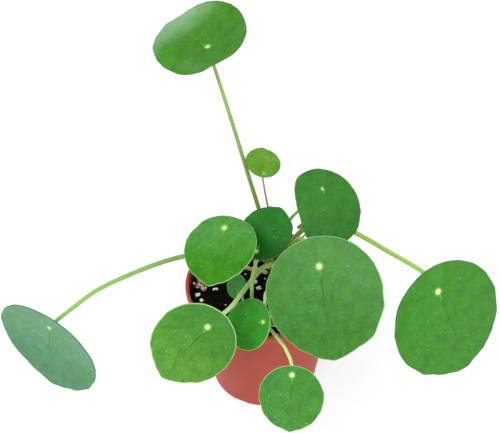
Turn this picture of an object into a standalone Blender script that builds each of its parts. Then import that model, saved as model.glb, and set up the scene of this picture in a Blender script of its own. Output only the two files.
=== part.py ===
"""Potted Chinese money plant: round peltate leaves on long stalks, in a moulded nursery pot.

Run it with: blender --background --python part.py
Metres, +Z up. The origin is the centre of the pot's underside.
"""

import math
from collections import namedtuple

import bmesh
import bpy
from mathutils import Matrix, Vector

MM = 0.001
GAP = 0.3 * MM  # air between two pieces that touch

# Pot: a tapered shell with a rolled rim, an open mouth and drain openings round its foot.
POT_HEIGHT = 89 * MM
POT_RIM_RADIUS = 52 * MM
POT_FOOT_RADIUS = 37.6 * MM
POT_WALL = 1.5 * MM
POT_FLOOR = 3.5 * MM
POT_RIM_WIDTH = 2.4 * MM
POT_RIM_DEPTH = 3.0 * MM
POT_FOOT_ROUND = 2.0 * MM
POT_FLOOR_FILLET = 2.2 * MM  # width of the slope between the floor and the wall, inside
POT_STEPS = 48
RIM_ARC_STEPS = 6
FOOT_ARC_STEPS = 3
DRAIN_COUNT = 8
DRAIN_FIRST_ANGLE = -118  # degrees
DRAIN_HOLE_RADIUS = 4 * MM
DRAIN_HOLE_CIRCLE = 26 * MM
DRAIN_HOLE_SIDES = 12
DRAIN_GROOVE_WIDTH = 8 * MM
DRAIN_GROOVE_HEIGHT = 2 * MM
CUT_PAST = 2 * MM  # how far a cutter runs beyond what it cuts

# Potting mix: it fills the shell and rises a little towards the stems.
MIX_LEVEL = 80 * MM
MIX_CROWN = 83 * MM
MIX_RINGS = 5
MIX_CLEARANCE = 1.5 * GAP  # to the pot's wall
MIX_STEPS = POT_STEPS  # facets that line up with the pot's

# Stems, in millimetres. Each stands on the mix's surface, which sets its foot's height.
Stem = namedtuple("Stem", "foot top foot_radius top_radius")
STEMS = {
    "main_stem": Stem((14, -2, 84), (15, -3, 114), 4.2, 3.2),
    "pup_stem": Stem((-9, -21, 83), (-8, -22, 92), 2.6, 2.0),
}
STEM_BOW = 0.4 * MM  # how far a stem's middle stands out of line
STEM_CLEARANCE = 3 * GAP  # between a stem's foot and the mix's domed surface
STEM_STEP = 4 * MM

# Leaves. All lengths are millimetres and all angles degrees.
#   stem, node_height  where the stalk leaves its stem
#   route              points that the stalk passes through, from the stem to the blade
#   stalk_radius       at the stalk's foot; it tapers towards the blade
#   navel              where the stalk meets the blade
#   tilt, azimuth      the blade's upper side leans this far from +Z, towards this bearing
#   turn               the tip's direction in the blade's plane, counted from the steepest way down
#   size, offset       diameter, and the navel's distance from the centre as a share of the radius
#   dome               fall of the edge below the navel, as a share of the radius (negative: cupped)
#   wave, phase        two-lobed ripple of the edge, as a share of the radius, and its bearing
#   roll               edge rolled down: bearing from the tip, distance from the navel, bend radius
Leaf = namedtuple(
    "Leaf",
    "stem node_height route stalk_radius navel tilt azimuth turn size offset dome wave phase roll",
    defaults=[None],
)
LEAVES = {
    "top": Leaf(
        "main_stem", 108, [(8, 2, 118), (0, 13, 141), (-15, 40, 192)], 1.5,
        (-28, 62, 234), 15, -158, -72, 63, 0.25, -0.14, 0.09, 99, (95, 9.5, 15.5),
    ),
    "dome": Leaf(
        "main_stem", 112, [(11, 5, 128), (6, 9, 145)], 0.7,
        (4, 16, 168), 22, -53, 144, 23, 0.78, 0.10, -0.03, 0,
    ),
    "upper_right": Leaf(
        "main_stem", 106, [(16, 6, 120), (20, 8, 135), (28, 9, 144)], 1.2,
        (41, 10, 158), 45, -33, -25, 54, 0.46, 0.05, -0.08, 12, (-22, 16, 20),
    ),
    "dark": Leaf(
        "pup_stem", 90, [(-7, -29, 106), (-6, -30, 123)], 1.3,
        (-3, -26, 140), 31, -128, -179, 35, 0.71, -0.08, -0.02, 42,
    ),
    "mid_left": Leaf(
        "main_stem", 102, [(4, -2, 119), (-11, -7, 138)], 1.4,
        (-22, -21, 156), 23, -129, 23, 46, 0.57, 0.05, 0.06, 70, (161, 5, 14),
    ),
    "front": Leaf(
        "main_stem", 110, [(21, -9, 128), (26, -23, 145)], 1.5,
        (34, -45, 143), 52, -117, 23, 73, 0.505, 0.04, 0.07, 54,
    ),
    "far_right": Leaf(
        "main_stem", 101,
        [(20, 3, 116), (28, 5, 128), (43, 6, 131), (60, 3, 127), (82, -18, 126), (99, -38, 127)], 1.8,
        (106, -52, 124), 68, -66, 15, 76, 0.60, 0.09, 0.0, 0,
    ),
    "far_left": Leaf(
        "main_stem", 97, [(-4, 1, 112), (-49, -14, 127), (-95, -35, 126), (-117, -46, 118)], 1.75,
        (-132, -56, 111), 92, -121, -11, 73, 0.50, -0.09, -0.02, 114,
    ),
    "lower_left": Leaf(
        "main_stem", 93,
        [(9, -9, 104), (7, -10, 112), (0, -14, 113), (-6, -20, 110), (-13, -30, 108), (-22, -48, 112)], 1.7,
        (-34, -69, 120), 65, -81, -50, 51, 0.50, -0.10, 0.04, 162,
    ),
    "small_front": Leaf(
        "main_stem", 88, [(8, -14, 97), (2, -27, 104), (1, -40, 107)], 1.1,
        (-1, -52, 104), 45, -141, -50, 33, 0.66, 0.03, -0.06, 88,
    ),
    "lowest_front": Leaf(
        "pup_stem", 86, [(-2, -32, 86), (4, -46, 90), (12, -67, 96), (15, -77, 95)], 1.3,
        (15, -85, 92), 52, -98, 0, 39.5, 0.71, 0.08, -0.06, 111,
    ),
    "tiny_left": Leaf(
        "pup_stem", 89, [(-13, -20, 90)], 0.8,
        (-16, -16, 93), 56, -140, -128, 17, 0.60, 0.02, -0.01, 134,
    ),
    "tiny_back": Leaf(
        "main_stem", 114, [(22, -3, 124), (29, -6, 134)], 0.7,
        (31.5, -3, 143), 60, 120, 90, 13, 0.45, 0.06, 0.02, 0,
    ),
    "baby": Leaf(
        "pup_stem", 88, [(-2, -27, 92), (2, -36, 95)], 0.7,
        (5, -44, 100), 40, -40, 0, 10, 0.40, -0.10, 0.02, 0,
    ),
}
BLADE_THICKNESS = 0.8 * MM
BLADE_RINGS = 3
LARGE_BLADE = 30  # diameter in millimetres from which a blade gets more segments
LARGE_SEGMENTS = 28
SMALL_SEGMENTS = 20
TIP_REACH = 0.05  # how far the tip stands out of the round outline, as a share of the radius
TIP_WIDTH = 14  # degrees, half width of the tip
STALK_TAPER = 0.72  # radius at the blade over radius at the foot
STALK_STRAIGHT = 3 * MM  # the stalk's last stretch stands square to the blade
STALK_STEP = 8 * MM
STALK_CLEARANCE = 0.3  # more air between a stalk's foot and its stem, as a share of the stalk's radius

# The dried stub of an old stalk, lying on the mix
STUB_ROUTE = [(-13, 17, 85.4), (-7, 15, 85.3), (-1, 13, 85.3), (4, 10, 85.5)]
STUB_RADIUS = 1.6
STUB_STEP = 4 * MM

# Loose pieces on the mix: (x, y) in millimetres, size, turn in degrees
BARK_CHIPS = [
    ((-44, 5), (4.0, 3.0, 2.4), 20), ((-40, 8), (3.6, 2.8, 2.2), 75),
    ((-40, 2), (4.2, 3.2, 2.4), 130), ((-36, 6), (3.0, 2.6, 2.0), 10),
    ((-43, 10), (3.2, 2.6, 2.0), 50), ((-3, 26), (4.0, 3.0, 2.2), 0),
]
PERLITE_GRAINS = [
    ((-44, -4), (2.8, 2.4, 2.0), 15), ((-41, -9), (2.2, 2.0, 1.6), 60),
    ((-2, -3), (3.0, 2.6, 2.2), 30), ((-4, 3), (2.0, 1.8, 1.5), 80),
    ((8, -44), (2.4, 2.0, 1.7), 0), ((-32, 1), (3.2, 1.4, 1.2), 5),
]
CHIP_CORNER = 0.32  # share of the shortest side that each edge is worn off by

COLOURS = {  # linear RGB, roughness
    "pot": ((0.46, 0.10, 0.07), 0.55),
    "mix": ((0.012, 0.010, 0.008), 0.95),
    "stem": ((0.22, 0.20, 0.08), 0.7),
    "blade": ((0.07, 0.28, 0.06), 0.4),
    "stalk": ((0.38, 0.62, 0.16), 0.45),
    "stub": ((0.50, 0.33, 0.18), 0.85),
    "bark": ((0.50, 0.30, 0.16), 0.9),
    "perlite": ((0.75, 0.72, 0.66), 0.9),
}


def mm(point):
    """A point in millimetres as a vector in metres."""
    return Vector(point) * MM


def clear_scene():
    for obj in list(bpy.data.objects):
        bpy.data.objects.remove(obj, do_unlink=True)


def make_collection(name, hidden=False):
    collection = bpy.data.collections.new(name)
    bpy.context.scene.collection.children.link(collection)
    collection.hide_render = hidden
    return collection


def make_material(name):
    colour, roughness = COLOURS[name]
    material = bpy.data.materials.new(name)
    material.use_nodes = True
    shader = material.node_tree.nodes["Principled BSDF"]
    shader.inputs["Base Color"].default_value = (*colour, 1)
    shader.inputs["Roughness"].default_value = roughness
    return material


def add_object(name, data, collection, material=None):
    obj = bpy.data.objects.new(name, data)
    collection.objects.link(obj)
    if material:
        data.materials.append(material)
    return obj


def turned(name, profile, steps, collection, material):
    """A solid of revolution from (radius, height) points that end on the axis."""
    mesh = bpy.data.meshes.new(name)
    edges = [(i, i + 1) for i in range(len(profile) - 1)]
    mesh.from_pydata([(radius, 0, height) for radius, height in profile], edges, [])
    obj = add_object(name, mesh, collection, material)
    screw = obj.modifiers.new("turn", "SCREW")
    screw.steps = screw.render_steps = steps
    screw.use_merge_vertices = True
    screw.merge_threshold = 0.00001
    screw.use_smooth_shade = True
    return obj


def arc(centre, radius, start, end, count):
    """Points on a circle in the profile's plane, from one angle to another, in degrees."""
    points = []
    for i in range(count + 1):
        angle = math.radians(start + (end - start) * i / count)
        points.append((centre[0] + radius * math.cos(angle), centre[1] + radius * math.sin(angle)))
    return points


def add_cutter(name, builder, collection):
    """Frees the builder into a hidden object that cuts others."""
    mesh = bpy.data.meshes.new(name)
    builder.to_mesh(mesh)
    builder.free()
    cutter = add_object(name, mesh, collection)
    cutter.hide_render = True
    cutter.display_type = "WIRE"
    return cutter


def pot_radius(height):
    """The outer radius of the pot's wall."""
    return POT_FOOT_RADIUS + (POT_RIM_RADIUS - POT_FOOT_RADIUS) * height / POT_HEIGHT


def make_pot(collection, cutters, material):
    bead = POT_RIM_WIDTH / 2
    inner_rim = POT_RIM_RADIUS - POT_RIM_WIDTH
    below_rim = POT_HEIGHT - POT_RIM_DEPTH
    foot_centre = (pot_radius(POT_FOOT_ROUND) - POT_FOOT_ROUND, POT_FOOT_ROUND)
    profile = [
        (0, POT_FLOOR),
        (pot_radius(POT_FLOOR) - POT_WALL - POT_FLOOR_FILLET, POT_FLOOR),
        (pot_radius(POT_FLOOR) - POT_WALL, POT_FLOOR + POT_WALL),
        (pot_radius(below_rim) - POT_WALL, below_rim - POT_WALL),
        (inner_rim, below_rim),
    ]
    profile += arc((POT_RIM_RADIUS - bead, POT_HEIGHT - bead), bead, 180, 0, RIM_ARC_STEPS)
    profile += [(POT_RIM_RADIUS, below_rim)]
    profile += arc(foot_centre, POT_FOOT_ROUND, -10, -90, FOOT_ARC_STEPS)
    profile += [(0, 0)]
    pot = turned("pot", profile, POT_STEPS, collection, material)

    holes, grooves = bmesh.new(), bmesh.new()
    reach = POT_FOOT_RADIUS + CUT_PAST - DRAIN_HOLE_CIRCLE
    for i in range(DRAIN_COUNT):
        turn = Matrix.Rotation(math.radians(DRAIN_FIRST_ANGLE + 360 * i / DRAIN_COUNT), 4, "Z")
        hole = turn @ Matrix.Translation((DRAIN_HOLE_CIRCLE, 0, 0))
        bmesh.ops.create_cone(
            holes, cap_ends=True, segments=DRAIN_HOLE_SIDES, radius1=DRAIN_HOLE_RADIUS,
            radius2=DRAIN_HOLE_RADIUS, depth=2 * (POT_FLOOR + CUT_PAST), matrix=hole,
        )
        groove = turn @ Matrix.Translation((DRAIN_HOLE_CIRCLE + reach / 2, 0, 0))
        size = Matrix.Diagonal((reach, DRAIN_GROOVE_WIDTH, 2 * DRAIN_GROOVE_HEIGHT, 1))
        bmesh.ops.create_cube(grooves, size=1, matrix=groove @ size)
    for name, builder in (("drain_holes", holes), ("drain_grooves", grooves)):
        cutter = add_cutter(name, builder, cutters)
        cut = pot.modifiers.new(name, "BOOLEAN")
        cut.operation = "DIFFERENCE"
        cut.solver = "EXACT"
        cut.object = cutter
    return pot


def mix_height(radius):
    """The height of the mix's surface at this distance from the middle."""
    share = min(1.0, radius / POT_FOOT_RADIUS)
    return MIX_LEVEL + (MIX_CROWN - MIX_LEVEL) * (0.5 + 0.5 * math.cos(math.pi * share))


def make_mix(collection, material):
    def wall(height):
        return pot_radius(height) - POT_WALL - MIX_CLEARANCE

    floor = POT_FLOOR + GAP + POT_WALL
    rings = [POT_FOOT_RADIUS * i / MIX_RINGS for i in range(MIX_RINGS + 1)]
    profile = [(radius, mix_height(radius)) for radius in rings]
    profile += [(wall(MIX_LEVEL), MIX_LEVEL), (wall(floor), floor), (wall(floor) - POT_WALL, floor)]
    profile += [(0, floor)]
    return turned("potting_mix", profile, MIX_STEPS, collection, material)


def spline_point(before, start, end, after, share):
    """A point on the Catmull-Rom curve between start and end."""
    square, cube = share * share, share * share * share
    return 0.5 * (
        2 * start
        + (end - before) * share
        + (2 * before - 5 * start + 4 * end - after) * square
        + (3 * start - before - 3 * end + after) * cube
    )


def smooth_route(points, step):
    """Points about a step apart on one smooth curve through all the given ones."""
    ends = [2 * points[0] - points[1], *points, 2 * points[-1] - points[-2]]
    route = []
    for i in range(1, len(ends) - 2):
        count = max(1, round((ends[i + 1] - ends[i]).length / step))
        for k in range(count):
            route.append(spline_point(*ends[i - 1 : i + 3], k / count))
    return [*route, points[-1]]


def tube(name, route, start_radius, end_radius, collection, material):
    """A tapered round tube with filled caps along the route."""
    curve = bpy.data.curves.new(name, "CURVE")
    curve.dimensions = "3D"
    curve.bevel_depth = 1.0
    curve.bevel_resolution = 2
    curve.use_fill_caps = True
    spline = curve.splines.new("POLY")
    spline.points.add(len(route) - 1)
    for i, (point, place) in enumerate(zip(spline.points, route)):
        share = i / (len(route) - 1)
        point.co = (*place, 1)
        point.radius = start_radius + (end_radius - start_radius) * share
    return add_object(name, curve, collection, material)


def stem_axis(stem, height):
    """The point on the stem's axis at this height, and the stem's radius there, in metres."""
    share = (height - stem.foot[2]) / (stem.top[2] - stem.foot[2])
    share = max(0.0, min(1.0, share))
    point = mm(stem.foot).lerp(mm(stem.top), share)
    radius = stem.foot_radius + (stem.top_radius - stem.foot_radius) * share
    return point, radius * MM


def make_stem(name, stem, collection, material):
    foot, top = mm(stem.foot), mm(stem.top)
    foot.z = mix_height(foot.xy.length) + STEM_CLEARANCE
    middle = foot.lerp(top, 0.5) + Vector((STEM_BOW, 0, 0))
    route = smooth_route([foot, middle, top], STEM_STEP)
    return tube(name, route, stem.foot_radius * MM, stem.top_radius * MM, collection, material)


def blade_frame(leaf):
    """The blade's own axes: X towards the tip, Z out of the upper side, origin at the navel."""
    turn = (
        Matrix.Rotation(math.radians(leaf.azimuth), 4, "Z")
        @ Matrix.Rotation(math.radians(leaf.tilt), 4, "Y")
        @ Matrix.Rotation(math.radians(leaf.turn), 4, "Z")
    )
    return Matrix.Translation(mm(leaf.navel)) @ turn


def blade_point(leaf, share, angle):
    """A point of the blade's upper face in its own axes: share 0 is the navel and 1 the edge."""
    radius = leaf.size / 2 * MM
    off_tip = abs(math.remainder(angle, 2 * math.pi))
    reach = 1 + TIP_REACH * math.exp(-((off_tip / math.radians(TIP_WIDTH)) ** 2)) * share
    ripple = leaf.wave * math.cos(2 * (angle - math.radians(leaf.phase)))
    point = Vector(
        (
            radius * share * (leaf.offset + reach * math.cos(angle)),
            radius * share * reach * math.sin(angle),
            radius * share * share * (ripple - leaf.dome),
        )
    )
    return rolled(point, *leaf.roll) if leaf.roll else point


def rolled(point, bearing, start, bend):
    """The point carried round a bend when it lies further than start along the bearing."""
    away = Vector((math.cos(math.radians(bearing)), math.sin(math.radians(bearing)), 0))
    past = point.dot(away) - start * MM
    if past <= 0:
        return point
    bend_radius = bend * MM
    turned_by = past / bend_radius
    along = bend_radius * math.sin(turned_by) - past
    down = bend_radius * (1 - math.cos(turned_by))
    return point + away * along - Vector((0, 0, down))


def make_blade(name, leaf, collection, material):
    segments = LARGE_SEGMENTS if leaf.size >= LARGE_BLADE else SMALL_SEGMENTS
    builder = bmesh.new()
    first = bmesh.ops.create_circle(builder, cap_ends=True, cap_tris=True, segments=segments, radius=1)
    hub = max(first["verts"], key=lambda vert: len(vert.link_edges))
    rings = [sorted(set(first["verts"]) - {hub}, key=lambda vert: math.atan2(vert.co.y, vert.co.x))]
    for _ in range(BLADE_RINGS - 1):
        edge = [e for e in builder.edges if e.is_boundary]
        grown = bmesh.ops.extrude_edge_only(builder, edges=edge)["geom"]
        verts = [item for item in grown if isinstance(item, bmesh.types.BMVert)]
        rings.append(sorted(verts, key=lambda vert: math.atan2(vert.co.y, vert.co.x)))
    bearing = {vert: math.atan2(vert.co.y, vert.co.x) for ring in rings for vert in ring}
    hub.co = blade_point(leaf, 0, 0)
    for i, ring in enumerate(rings):
        for vert in ring:
            vert.co = blade_point(leaf, (i + 1) / BLADE_RINGS, bearing[vert])
    bmesh.ops.recalc_face_normals(builder, faces=builder.faces)
    if hub.normal.z < 0 or builder.faces[:][0].normal.z < 0:
        bmesh.ops.reverse_faces(builder, faces=builder.faces)
    mesh = bpy.data.meshes.new(name)
    builder.to_mesh(mesh)
    builder.free()
    mesh.shade_smooth()
    blade = add_object(name, mesh, collection, material)
    blade.matrix_world = blade_frame(leaf)
    wall = blade.modifiers.new("thickness", "SOLIDIFY")
    wall.thickness = BLADE_THICKNESS
    wall.offset = -1
    return blade


def make_stalk(name, leaf, collection, material):
    radius = leaf.stalk_radius * MM
    axis, stem_radius = stem_axis(STEMS[leaf.stem], leaf.node_height)
    outward = (mm(leaf.route[0]) - axis) * Vector((1, 1, 0))
    start = axis + outward.normalized() * (stem_radius + (1 + STALK_CLEARANCE) * radius + GAP)
    facing = blade_frame(leaf).to_3x3() @ Vector((0, 0, 1))
    end = mm(leaf.navel) - facing * (BLADE_THICKNESS + GAP)
    before_end = end - facing * STALK_STRAIGHT
    points = [start, *[mm(point) for point in leaf.route], before_end, end]
    route = smooth_route(points, STALK_STEP)
    return tube(name, route, radius, radius * STALK_TAPER, collection, material)


def make_loose_pieces(name, pieces, collection, material):
    """Worn blocks that rest on the mix, each clear of it by a gap."""
    for i, ((x, y), size, turn) in enumerate(pieces, start=1):
        builder = bmesh.new()
        bmesh.ops.create_cube(builder, size=1, matrix=Matrix.Diagonal((*mm(size), 1)))
        bmesh.ops.bevel(
            builder, geom=builder.edges[:], offset=CHIP_CORNER * min(size) * MM,
            affect="EDGES", segments=1, profile=0.5, material=-1,
        )
        mesh = bpy.data.meshes.new(f"{name}_{i}")
        builder.to_mesh(mesh)
        builder.free()
        piece = add_object(f"{name}_{i}", mesh, collection, material)
        highest = mix_height(max(0, math.hypot(x, y) - max(size) / 2) * MM)
        piece.location = (x * MM, y * MM, highest + size[2] / 2 * MM + GAP)
        piece.rotation_euler.z = math.radians(turn)


def build():
    clear_scene()
    parts = make_collection("potted_chinese_money_plant")
    cutters = make_collection("cutters", hidden=True)
    materials = {name: make_material(name) for name in COLOURS}

    make_pot(parts, cutters, materials["pot"])
    make_mix(parts, materials["mix"])
    for name, stem in STEMS.items():
        make_stem(name, stem, parts, materials["stem"])
    for name, leaf in LEAVES.items():
        make_blade(f"blade_{name}", leaf, parts, materials["blade"])
        make_stalk(f"stalk_{name}", leaf, parts, materials["stalk"])
    stub = smooth_route([mm(point) for point in STUB_ROUTE], STUB_STEP)
    tube("dried_stub", stub, STUB_RADIUS * MM, STUB_RADIUS * MM, parts, materials["stub"])
    make_loose_pieces("bark_chip", BARK_CHIPS, parts, materials["bark"])
    make_loose_pieces("perlite", PERLITE_GRAINS, parts, materials["perlite"])


build()
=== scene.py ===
"""Potted Chinese money plant: the finished look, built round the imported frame.

The frame gives every size and place in metres, +Z up, with the origin under the pot's middle.
Each blade, stalk and stem is a finer form of the frame's own, and the bark and perlite lie where the
frame's lie.
"""

import math
import random
from typing import NamedTuple

import bmesh
import bpy
from bpy.props import FloatProperty, FloatVectorProperty, IntProperty, PointerProperty
from mathutils import Matrix, Vector, noise


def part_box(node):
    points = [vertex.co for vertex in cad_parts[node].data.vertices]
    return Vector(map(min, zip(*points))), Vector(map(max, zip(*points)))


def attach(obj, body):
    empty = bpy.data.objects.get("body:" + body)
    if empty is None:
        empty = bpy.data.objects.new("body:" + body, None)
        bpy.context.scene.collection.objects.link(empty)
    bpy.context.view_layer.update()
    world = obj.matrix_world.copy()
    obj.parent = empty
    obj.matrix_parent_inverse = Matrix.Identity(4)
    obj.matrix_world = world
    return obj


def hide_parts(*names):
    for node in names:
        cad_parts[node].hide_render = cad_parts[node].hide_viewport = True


bl_info = {
    "name": "Potted Chinese Money Plant",
    "version": (1, 0, 0),
    "blender": (4, 5, 0),
    "location": "3D View > Sidebar > Money Plant",
    "description": "Builds a potted Chinese money plant, piece by piece, round its frame",
    "category": "Add Mesh",
}

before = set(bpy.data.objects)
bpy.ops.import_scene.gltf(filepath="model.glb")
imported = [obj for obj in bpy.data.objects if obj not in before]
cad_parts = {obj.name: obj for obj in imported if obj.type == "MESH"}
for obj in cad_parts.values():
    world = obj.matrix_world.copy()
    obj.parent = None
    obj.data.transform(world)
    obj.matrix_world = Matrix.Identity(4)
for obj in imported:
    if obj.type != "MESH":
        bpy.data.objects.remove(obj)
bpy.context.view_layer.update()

MM = 0.001
BODY = "root"
MERGE = 0.01 * MM  # vertices closer than this are one
TUBE_SIDES = 8  # sides of the frame's tubes
GRAINS = 6  # the frame's bark chips, and its grains of perlite
CLUSTERED = 5  # the bark chips that lie together, with splinters among them
BLADE_RINGS = 3  # rings of the frame's blades, from the navel to the edge
TIP_WIDTH = math.radians(7)  # over this turn a blade's tip falls off to a third
LARGE_BLADE = 36 * MM  # radius of a full-grown blade, for which the edge and the navel's dot are given
SMALL_BLADE = 14 * MM  # a blade under this radius needs fewer steps and has no fine scallops
DIMPLE_WIDTH = 2.4 * MM  # from the navel to where the hollow over the stalk has almost gone
POT_LOW, POT_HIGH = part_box("pot")
MIX_LOW, MIX_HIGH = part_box("potting_mix")

class Look(NamedTuple):
    """The finish of a leaf's upper face."""

    field: str  # its green over most of it
    tip: str  # its green towards the tip
    edge: str  # the thin line along its edge
    dot: str  # the dot where the stalk shows through
    gloss: float  # its roughness: a young leaf shines more than an old one
    veins: float  # how much painted shade darkens the sunken veins
    rays: float  # how strongly the rays show among the veins
    spot: float = 1.0  # the dot's size
    sheen_and_painted_sheen: float = 0.04  # the sheen of its wax
    painted_reflection: float | None = None  # the bearing of a pale band of painted sheen along the edge, in degrees from the tip


BLADE_LOOKS = {
    "top": Look("3D850A", "408F0B", "5E7A3C", "C8FD94", 0.34, 0.10, 0.15, spot=0.9, sheen_and_painted_sheen=0.15, painted_reflection=-10),
    "dome": Look("629823", "6DA12D", "5E7A3C", "9DCE55", 0.38, 0.10, 0.0, spot=0.6),
    "upper_right": Look("3D862A", "337B23", "55813C", "BAEC8B", 0.36, 0.10, 0.1, spot=0.65),
    # The dark leaf's deep green is partly its own and partly painted shade for the shade it stands in among
    # the other leaves.
    "dark": Look("0D5B06", "217518", "3F5B2C", "C4FC90", 0.40, 0.10, 0.0, spot=0.8),
    "mid_left": Look("52993A", "3A8905", "8CC468", "CDFF86", 0.34, 0.16, 0.2),
    "front": Look("4D903A", "44862E", "9CCB7C", "F2FFC4", 0.42, 0.30, 0.35),
    "far_right": Look("428E24", "428A26", "4C7A3C", "F2FFC4", 0.42, 0.26, 0.4),
    "far_left": Look("619F69", "528D5E", "54836A", "C4F0B0", 0.46, 0.22, 0.5, spot=0.8, sheen_and_painted_sheen=0.1),
    "lower_left": Look("488C2D", "5E9C30", "A8D68A", "E4FFB0", 0.42, 0.32, 0.9),
    "small_front": Look("3A9425", "2B8813", "8CC468", "C0F890", 0.40, 0.14, 0.1, spot=0.8),
    "lowest_front": Look("469035", "4F9234", "A4D286", "F2FFC4", 0.42, 0.28, 0.5),
    "tiny_left": Look("44993F", "3D8C3F", "6C9A5C", "6FB86A", 0.45, 0.15, 0.3),
    "tiny_back": Look("4C8A3C", "4C8A3C", "8FA884", "9AC890", 0.45, 0.15, 0.3),
    "baby": Look("3F8A34", "4F9A3C", "B4D8A0", "D0F0B0", 0.40, 0.12, 0.2),
}
# The colours of a leaf's stalk, at its foot and where it meets the blade. Stalks that stand in the shade of
# the blades are painted lighter than their own green, as painted light against that shade.
STALK_LOOKS = {
    "top": ("4C7A0C", "A4C670"),
    "dome": ("6A4434", "A08C74"),
    "upper_right": ("76A044", "A4D884"),
    "dark": ("A8D45C", "B4DC74"),
    "mid_left": ("90B04C", "A0C866"),
    "front": ("8CAC4C", "A8CC70"),
    "far_right": ("8CA834", "B4E870"),
    "far_left": ("7E9C4A", "9CD070"),
    "lower_left": ("94B45A", "E2F4AC"),
    # The small_front stalk is painted nearly white, as painted light against the shade it stands in under
    # the blades.
    "small_front": ("E4FFB0", "E4FFB0"),
    "lowest_front": ("A6D066", "DCF8A0"),
    "tiny_left": ("C4DC9C", "C4DC9C"),
    "tiny_back": ("8CA474", "8CA474"),
    "baby": ("C0E098", "C8E8A0"),
}
# Where a leaf's edge stands out or in: (bearing from the tip and half width in degrees, millimetres).
EDGE_LOBES = {
    "top": [(-45, 35, 3.2), (5, 25, 1.6)],
    "mid_left": [(-9, 5, 1.6), (-122, 12, -1.9)],
    "front": [(0, 6, -0.8), (24, 7, -0.6), (48, 6, 0.6), (-30, 8, 0.5)],
    "upper_right": [(-150, 14, 2.0)],
}


# --- Reading the frame -------------------------------------------------------------------------


def cad_copy(node):
    """A frame node's mesh as a bmesh with its loose triangles joined up."""
    builder = bmesh.new()
    builder.from_mesh(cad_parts[node].data)
    bmesh.ops.remove_doubles(builder, verts=builder.verts, dist=MERGE)
    builder.verts.ensure_lookup_table()
    return builder


def layers_from(first):
    """The vertices sorted into rings by how many edges they lie from the first ones."""
    seen, found = set(first), [list(first)]
    while found[-1]:
        near = {edge.other_vert(vert) for vert in found[-1] for edge in vert.link_edges} - seen
        seen |= near
        found.append(sorted(near, key=lambda vert: vert.index))
    return found[:-1]


def middle_of(verts):
    return sum((vert.co for vert in verts), Vector()) / len(verts)


def tube_rings(node, start):
    """The (centre, radius) of each ring of a frame's tube, from the end that is nearest to start."""
    builder = cad_copy(node)
    end = sorted(builder.verts, key=lambda vert: (vert.co - start).length)[:TUBE_SIDES]
    rings = []
    for layer in layers_from(end):
        centre = middle_of(layer)
        rings.append((centre, sum((vert.co - centre).length for vert in layer) / len(layer)))
    builder.free()
    return rings


class Blade:
    """A frame's blade: its navel, the axes there, and the rings of its upper face from the tip round."""

    def __init__(self, name):
        builder = cad_copy(f"blade_{name}")
        stalk = cad_copy(f"stalk_{name}")
        hubs = sorted(builder.verts, key=lambda vert: -len(vert.link_edges))[:2]
        hubs.sort(key=lambda hub: min((hub.co - vert.co).length for vert in stalk.verts))
        under, upper = hubs
        self.navel = upper.co.copy()
        self.thickness = (upper.co - under.co).length
        self.normal = (upper.co - under.co).normalized()
        rings = layers_from([upper])[1 : BLADE_RINGS + 1]
        side = self.normal.orthogonal()
        rim = sorted(rings[-1], key=lambda vert: self.bearing(vert.co, side))
        centre = middle_of(rim)
        reach = [(vert.co - centre).length for vert in rim]
        stands_out = [2 * reach[i] - reach[i - 1] - reach[i + 1 - len(rim)] for i in range(len(rim))]
        tip = rim[stands_out.index(max(stands_out))].co.copy()
        self.forward = self.flat(tip - self.navel).normalized()
        half_step = math.pi / len(rim)
        self.rings = []
        for ring in rings:
            turns = sorted(
                ring,
                key=lambda vert: (self.bearing(vert.co, self.forward) + half_step) % (2 * math.pi),
            )
            self.rings.append([vert.co.copy() for vert in turns])
        self.radius = sum(reach) / len(reach)
        self.offset = self.flat(centre - self.navel).dot(self.forward) / self.radius
        builder.free()
        stalk.free()

    def flat(self, vector):
        """The part of a vector that lies in the blade's plane."""
        return vector - self.normal * vector.dot(self.normal)

    def bearing(self, place, forward):
        """The angle of a place round the navel, counted from forward."""
        away = self.flat(place - self.navel)
        return math.atan2(away.dot(self.normal.cross(forward)), away.dot(forward))

    def point(self, share, turn):
        """The upper face at a share of the way to the edge, at a turn round it counted from the tip."""
        knots = [0, *[(i + 1) / BLADE_RINGS for i in range(BLADE_RINGS)]]
        around = [self.navel, *[round_ring(ring, turn) for ring in self.rings]]
        place = Vector()
        for i, knot in enumerate(knots):
            weight = 1.0
            for other in knots[:i] + knots[i + 1 :]:
                weight *= (share - other) / (knot - other)
            place += weight * around[i]
        return place


def spline_point(before, start, end, after, share):
    """A point on the smooth curve between start and end."""
    square, cube = share * share, share * share * share
    return 0.5 * (
        2 * start
        + (end - before) * share
        + (2 * before - 5 * start + 4 * end - after) * square
        + (3 * start - before - 3 * end + after) * cube
    )


def round_ring(ring, turn):
    """A point of the smooth closed curve through a ring's points, at a share of the whole turn."""
    count = len(ring)
    i, share = divmod(turn * count, 1)
    i = int(i)
    return spline_point(*[ring[(i + k) % count] for k in (-1, 0, 1, 2)], share)


def smooth_route(rings, step):
    """(place, radius) about a step apart on the smooth curve through the rings' centres."""
    ends = [rings[0], *rings, rings[-1]]
    route = []
    for i in range(1, len(ends) - 2):
        quad = ends[i - 1 : i + 3]
        count = max(1, round((quad[2][0] - quad[1][0]).length / step))
        for k in range(count):
            place = spline_point(*[ring[0] for ring in quad], k / count)
            radius = quad[1][1] + (quad[2][1] - quad[1][1]) * k / count
            route.append((place, radius))
    return [*route, rings[-1]]


MIX_CORNERS = [vert.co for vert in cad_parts["potting_mix"].data.vertices]
MIX_WIDEST = max(corner.xy.length for corner in MIX_CORNERS)
# The height of the mix where it meets the pot's wall.
MIX_LEVEL = max(corner.z for corner in MIX_CORNERS if corner.xy.length > MIX_WIDEST - 0.1 * MM)
BLADES = {name: Blade(name) for name in BLADE_LOOKS}


# --- Shared modelling --------------------------------------------------------------------------


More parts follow.
